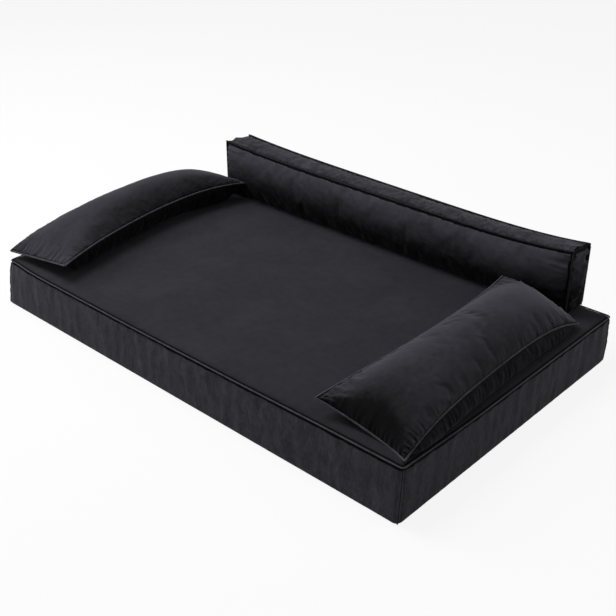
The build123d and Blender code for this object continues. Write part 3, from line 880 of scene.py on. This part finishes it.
def zip_teeth(body, out, up):
    """Bevelled teeth that mesh along the middle of a body's zip."""
    low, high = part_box(f"{body}_zip_chain")
    out, up = np.array(out, float), np.array(up, float)
    along = np.zeros(3)
    along[int(np.argmax(high - low))] = 1.0
    half = float((high - low) @ Vector(along)) / 2 - row_short
    plane = np.array((low + high) / 2) - tape_offset * out
    tooth_levels = ((tooth_rise[0], 0), (tooth_rise[1] - tooth_bevel, 0), (tooth_rise[1], tooth_bevel))
    places, faces = [], []
    for number, run in enumerate(np.arange(-half, half, tooth_pitch / 2)):
        middle = plane + run * along + (1 if number % 2 else -1) * tooth_reach * up
        start = len(places)
        for rise, bevel in tooth_levels:
            for i, j in ((-1, -1), (1, -1), (1, 1), (-1, 1)):
                length, width = i * (tooth_half[0] - bevel), j * (tooth_half[1] - bevel)
                places.append(middle + rise * out + length * along + width * up)
        for level in (start, start + 4):
            for i, k in ((0, 1), (1, 2), (2, 3), (3, 0)):
                faces.append((level + i, level + k, level + k + 4, level + i + 4))
        faces += [(start + 3, start + 2, start + 1, start), (start + 8, start + 9, start + 10, start + 11)]
    made = piece(f"{body}_zip_teeth", places, faces, body)
    made.data.shade_flat()
    return made


teeth = [
    zip_teeth("base", out=(0, 1, 0), up=(0, 0, 1)),
    zip_teeth("bolster", out=(0, 1, 0), up=(0, 0, 1)),
    zip_teeth("left_pillow", zip_out, zip_up),
    zip_teeth("right_pillow", zip_out, zip_up),
]


# Materials
pile_scale = 900.0
grain_scale = 700.0
grain_shade = 0.8


def tree_of(name):
    """A new material, its node tree and its shader."""
    made = bpy.data.materials.new(name)
    made.use_nodes = True
    return made, made.node_tree, made.node_tree.nodes["Principled BSDF"]


def node(tree, kind, values=(), **links):
    """A node with set values and links from other sockets."""
    made = tree.nodes.new(kind)
    for key, value in dict(values).items():
        if key in made.inputs:
            made.inputs[key].default_value = value
        else:
            setattr(made, key, value)
    for key, socket in links.items():
        tree.links.new(socket, made.inputs[key])
    return made


def noise_of(tree, place, scale, stretch=(1, 1, 1), detail=4.0, roughness=0.55, distortion=0.0):
    """Noise over the object, stretched by a scale per axis."""
    mapping = node(tree, "ShaderNodeMapping", {"Scale": stretch}, Vector=place)
    return node(
        tree,
        "ShaderNodeTexNoise",
        {"Scale": scale, "Detail": detail, "Roughness": roughness, "Distortion": distortion},
        Vector=mapping.outputs[0],
    ).outputs["Fac"]


def ramp(tree, factor, stops):
    """A ramp from value to colour."""
    made = node(tree, "ShaderNodeValToRGB", Fac=factor)
    made.color_ramp.elements[0].position, made.color_ramp.elements[0].color = stops[0][0], (*stops[0][1], 1)
    made.color_ramp.elements[1].position, made.color_ramp.elements[1].color = stops[-1][0], (*stops[-1][1], 1)
    for place, colour in stops[1:-1]:
        made.color_ramp.elements.new(place).color = (*colour, 1)
    return made.outputs["Color"]


def added(tree, first, second, clamp=False):
    """The sum of two values."""
    total = node(tree, "ShaderNodeMath", {"operation": "ADD", "use_clamp": clamp})
    tree.links.new(first, total.inputs[0])
    tree.links.new(second, total.inputs[1])
    return total.outputs[0]


def velvet(
    name, dark, light, patch_scale=60.0, streaks=300.0, stretch=(1, 1, 1),
    spread=0.14, lift=None, sheen=0.22, lean=None,
):
    """Velvet: patches where the pile lies another way, fine streaks, a soft sheen and a short pile.

    Lift paints shade by height: darker below one height, lighter above another. Lean paints light and shade
    by facing: lighter on faces that look one way, darker on the faces opposite.
    """
    made, tree, shader = tree_of(name)
    place = tree.nodes.new("ShaderNodeTexCoord").outputs["Object"]
    patches = noise_of(tree, place, patch_scale, stretch, detail=5.0, roughness=0.6, distortion=0.8)
    fine = noise_of(tree, place, streaks, stretch, detail=3.0, roughness=0.6, distortion=0.3)
    blend = node(tree, "ShaderNodeMix", {"data_type": "FLOAT", "Factor": 0.4}, A=patches, B=fine)
    tone_and_painted_shade = blend.outputs[0]
    # Lift: painted shade, darker below its lower height and lighter above its upper one
    if lift:
        height = node(tree, "ShaderNodeSeparateXYZ", Vector=place).outputs["Z"]
        limits = {"From Min": lift[0], "From Max": lift[1], "To Min": -lift[2], "To Max": lift[2]}
        tone_and_painted_shade = added(tree, tone_and_painted_shade, node(tree, "ShaderNodeMapRange", limits, Value=height).outputs[0])
    # Lean: painted light and shade by facing, lighter where the normal points along the lean vector and
    # darker where it points away
    if lean:
        normal = tree.nodes.new("ShaderNodeNewGeometry").outputs["Normal"]
        toward = node(tree, "ShaderNodeVectorMath", {"operation": "DOT_PRODUCT"})
        tree.links.new(normal, toward.inputs[0])
        toward.inputs[1].default_value = lean
        tone_and_painted_shade = added(tree, tone_and_painted_shade, toward.outputs["Value"])
    colour = ramp(tree, tone_and_painted_shade, [(0.5 - spread, dark), (0.5 + spread, light)])
    tree.links.new(colour, shader.inputs["Base Color"])
    shader.inputs["Roughness"].default_value = 0.85
    shader.inputs["Specular IOR Level"].default_value = 0.06
    shader.inputs["Sheen Weight"].default_value = sheen
    shader.inputs["Sheen Roughness"].default_value = 0.4
    shader.inputs["Sheen Tint"].default_value = (0.4, 0.4, 0.45, 1)
    pile = noise_of(tree, place, pile_scale, detail=2.0)
    lay = node(tree, "ShaderNodeBump", {"Strength": 0.35, "Distance": 0.002}, Height=blend.outputs[0])
    short = {"Strength": 0.25, "Distance": 0.0006}
    bump = node(tree, "ShaderNodeBump", short, Height=pile, Normal=lay.outputs[0])
    tree.links.new(bump.outputs[0], shader.inputs["Normal"])
    return made


velvet_flat = velvet(
    "velvet_flat",
    dark=(0.0138, 0.0134, 0.0167),
    light=(0.0202, 0.0196, 0.0245),
    patch_scale=9.0,
    streaks=60.0,
)
# Mattress walls: the top's velvet painted lighter to stand in for light the walls lack, with real vertical
# streaks
wall_velvet_painted_light = velvet(
    "wall_velvet_painted_light",
    dark=(0.0165, 0.016, 0.020),
    light=(0.042, 0.0408, 0.050),
    patch_scale=70.0,
    streaks=260.0,
    stretch=(1, 1, 0.5),
    spread=0.17,
)
# Left pillow top: lean paints shade by facing, darker on the slopes that face right
left_pillow_velvet_facing_shade = velvet(
    "left_pillow_top_facing_shade",
    dark=(0.0030, 0.0029, 0.0036),
    light=(0.040, 0.039, 0.0484),
    patch_scale=13.0,
    streaks=110.0,
    stretch=(1, 0.7, 1),
    spread=0.48,
    lean=(-0.5, 0, 0.06),
)
# Right pillow top: lean paints shade by facing, darker on its front end
right_pillow_velvet_facing_shade = velvet(
    "right_pillow_top_facing_shade",
    dark=(0.0012, 0.0012, 0.0015),
    light=(0.047, 0.0457, 0.0568),
    patch_scale=13.0,
    streaks=110.0,
    stretch=(1, 0.7, 1),
    spread=0.48,
    lean=(-0.14, 0.8, 0.08),
)
# Near-black velvets for the pillows' lower halves: painted shade under the pillows
under_left_shade_velvet = velvet(
    "under_left_shade_velvet",
    dark=(0.0006, 0.0006, 0.0008),
    light=(0.0055, 0.0053, 0.0066),
    patch_scale=75.0,
    streaks=190.0,
    stretch=(0.4, 1, 0.3),
    spread=0.12,
    sheen=0.06,
)
under_right_shade_velvet = velvet(
    "under_right_shade_velvet",
    dark=(0.0006, 0.0006, 0.0008),
    light=(0.0115, 0.0112, 0.0138),
    patch_scale=75.0,
    streaks=190.0,
    stretch=(0.4, 1, 0.3),
    spread=0.12,
    sheen=0.1,
)
# Bolster front, ends and underside: lift paints shade, near black towards the foot and lighter towards the
# top
bolster_velvet_height_shade = velvet(
    "bolster_velvet_height_shade",
    dark=(0.0005, 0.0005, 0.0006),
    light=(0.040, 0.0389, 0.048),
    patch_scale=20.0,
    streaks=110.0,
    stretch=(0.6, 1, 1),
    spread=0.36,
    lift=(0.134, 0.216, 0.42),
    sheen=0.12,
)
velvet_back = velvet(
    "velvet_back",
    dark=(0.012, 0.0117, 0.0146),
    light=(0.034, 0.033, 0.0408),
    patch_scale=24.0,
    streaks=130.0,
    stretch=(0.6, 1, 1),
    spread=0.17,
    sheen=0.2,
)
velvet_top = velvet(
    "velvet_top",
    dark=(0.0105, 0.0102, 0.0128),
    light=(0.036, 0.035, 0.043),
    patch_scale=40.0,
    streaks=160.0,
    spread=0.12,
)
# Lighter velvet on the mattress and pillow cords: painted highlight
piping_velvet_highlight = velvet("piping_velvet_highlight", dark=(0.032, 0.0312, 0.038), light=(0.064, 0.0624, 0.075))
# Darker velvet on the bolster's cords: painted shade
cord_velvet_shade = velvet("cord_velvet_shade", dark=(0.005, 0.005, 0.0062), light=(0.020, 0.0195, 0.0245))
# Near-black velvet for faces beside the cords and along corner seams: painted seam shade
seam_shade_velvet = velvet("seam_shade_velvet", dark=(0.0006, 0.0006, 0.0008), light=(0.002, 0.002, 0.0025), sheen=0.02)


def plain(name, colour, roughness, metallic=0.0):
    """A plain material with a fine grain."""
    made, tree, shader = tree_of(name)
    place = tree.nodes.new("ShaderNodeTexCoord").outputs["Object"]
    grain = noise_of(tree, place, grain_scale)
    darker = [grain_shade * channel for channel in colour]
    tree.links.new(ramp(tree, grain, [(0.3, darker), (0.7, colour)]), shader.inputs["Base Color"])
    shader.inputs["Roughness"].default_value = roughness
    shader.inputs["Metallic"].default_value = metallic
    bump = node(tree, "ShaderNodeBump", {"Strength": 0.3, "Distance": 0.0003}, Height=grain)
    tree.links.new(bump.outputs[0], shader.inputs["Normal"])
    return made


base_cloth = plain("base_cloth", (0.02, 0.02, 0.022), 0.9)
zip_tape = plain("zip_tape", (0.009, 0.0087, 0.0115), 0.85)
zip_metal = plain("zip_metal", (0.05, 0.05, 0.055), 0.35, 1.0)
zip_teeth_finish = plain("zip_teeth", (0.028, 0.0275, 0.031), 0.45)
strips = plain("hook_and_loop", (0.02, 0.02, 0.02), 0.9)


def dress(obj, *materials):
    """Put materials on a piece, and keep which face has which."""
    finish = np.zeros(len(obj.data.polygons), np.int32)
    obj.data.polygons.foreach_get("material_index", finish)
    obj.data.materials.clear()
    for material in materials:
        obj.data.materials.append(material)
    obj.data.polygons.foreach_set("material_index", finish)


dress(mattress, wall_velvet_painted_light, velvet_flat, base_cloth, seam_shade_velvet)
dress(bolster, bolster_velvet_height_shade, velvet_top, seam_shade_velvet, velvet_back)
dress(left_pillow, left_pillow_velvet_facing_shade, under_left_shade_velvet, seam_shade_velvet)
dress(right_pillow, right_pillow_velvet_facing_shade, under_right_shade_velvet, seam_shade_velvet)
for obj in teeth:
    dress(obj, zip_teeth_finish)
for obj in (mattress_piping, left_piping, right_piping):
    dress(obj, piping_velvet_highlight)
for obj in bolster_pipings:
    dress(obj, cord_velvet_shade)
for name, obj in cad_nodes.items():
    if name.endswith(("zip_slider", "zip_pull")):
        dress(obj, zip_metal)
    elif name.endswith("zip_chain"):
        dress(obj, zip_tape)
    elif name.endswith(("hooks", "loops")):
        dress(obj, strips)

# Floor, light and camera
floor_half = 12
floor_shade = 0.75
floor_white_share = 0.88
world_light = 0.25
scene = bpy.context.scene
floor_mesh = bpy.data.meshes.new("floor")
floor_corners = [(floor_half * i, floor_half * j, 0) for i, j in ((-1, -1), (1, -1), (1, 1), (-1, 1))]
floor_mesh.from_pydata(floor_corners, [], [(0, 1, 2, 3)])
floor = bpy.data.objects.new("floor", floor_mesh)
scene.collection.objects.link(floor)


def seen_ray(tree):
    """1 for rays that see the floor or world directly, in a gloss or through glass."""
    path = tree.nodes.new("ShaderNodeLightPath")
    seen = added(tree, path.outputs["Is Camera Ray"], path.outputs["Is Glossy Ray"], clamp=True)
    return added(tree, seen, path.outputs["Is Transmission Ray"], clamp=True)


floor_material = bpy.data.materials.new("pale_floor")
floor_material.use_nodes = True
tree = floor_material.node_tree
tree.nodes.clear()
output = tree.nodes.new("ShaderNodeOutputMaterial")
matte = node(tree, "ShaderNodeBsdfDiffuse", {"Color": (floor_shade, floor_shade, floor_shade, 1)})
white = node(tree, "ShaderNodeEmission", {"Color": (1, 1, 1, 1), "Strength": 1.0})
share = node(tree, "ShaderNodeMath", {"operation": "MULTIPLY"})
tree.links.new(seen_ray(tree), share.inputs[0])
share.inputs[1].default_value = floor_white_share
mixed = tree.nodes.new("ShaderNodeMixShader")
tree.links.new(share.outputs[0], mixed.inputs[0])
tree.links.new(matte.outputs[0], mixed.inputs[1])
tree.links.new(white.outputs[0], mixed.inputs[2])
tree.links.new(mixed.outputs[0], output.inputs["Surface"])
floor_mesh.materials.append(floor_material)

world = bpy.data.worlds.new("studio")
scene.world = world
world.use_nodes = True
tree = world.node_tree
tree.nodes.clear()
world_out = tree.nodes.new("ShaderNodeOutputWorld")
soft = node(tree, "ShaderNodeBackground", {"Color": (1, 1, 1, 1), "Strength": world_light})
clear = node(tree, "ShaderNodeBackground", {"Color": (1, 1, 1, 1), "Strength": 1.0})
world_mix = tree.nodes.new("ShaderNodeMixShader")
tree.links.new(seen_ray(tree), world_mix.inputs[0])
tree.links.new(soft.outputs[0], world_mix.inputs[1])
tree.links.new(clear.outputs[0], world_mix.inputs[2])
tree.links.new(world_mix.outputs[0], world_out.inputs["Surface"])


def lamp(name, place, target, size, power):
    """A soft square lamp that faces a target."""
    data = bpy.data.lights.new(name, "AREA")
    data.shape = "SQUARE"
    data.size = size
    data.energy = power
    made = bpy.data.objects.new(name, data)
    made.location = place
    made.rotation_euler = (Vector(target) - Vector(place)).to_track_quat("-Z", "Y").to_euler()
    scene.collection.objects.link(made)


lamp("overhead", place=(-0.9, -0.3, 2.4), target=(0, 0, 0), size=1.3, power=45)
lamp("key", place=(-2.5, -0.6, 2.0), target=(0, 0, 0.1), size=1.0, power=34)
lamp("front", place=(-0.9, -2.6, 1.5), target=(0, 0, 0.1), size=1.2, power=10)
lamp("back", place=(1.7, 1.7, 2.2), target=(0.2, 0.1, 0.1), size=1.2, power=12)

view_back = Vector((
    math.sin(camera_azimuth) * math.cos(camera_elevation),
    -math.cos(camera_azimuth) * math.cos(camera_elevation),
    math.sin(camera_elevation),
))
camera_data = bpy.data.cameras.new("camera")
camera_data.sensor_width = sensor_width
camera_data.lens = focal_pixels * sensor_width / image_pixels
camera = bpy.data.objects.new("camera", camera_data)
camera.location = camera_target + camera_distance * view_back
camera.rotation_euler = (-view_back).to_track_quat("-Z", "Y").to_euler()
scene.collection.objects.link(camera)
scene.camera = camera
scene.view_settings.view_transform = "Standard"
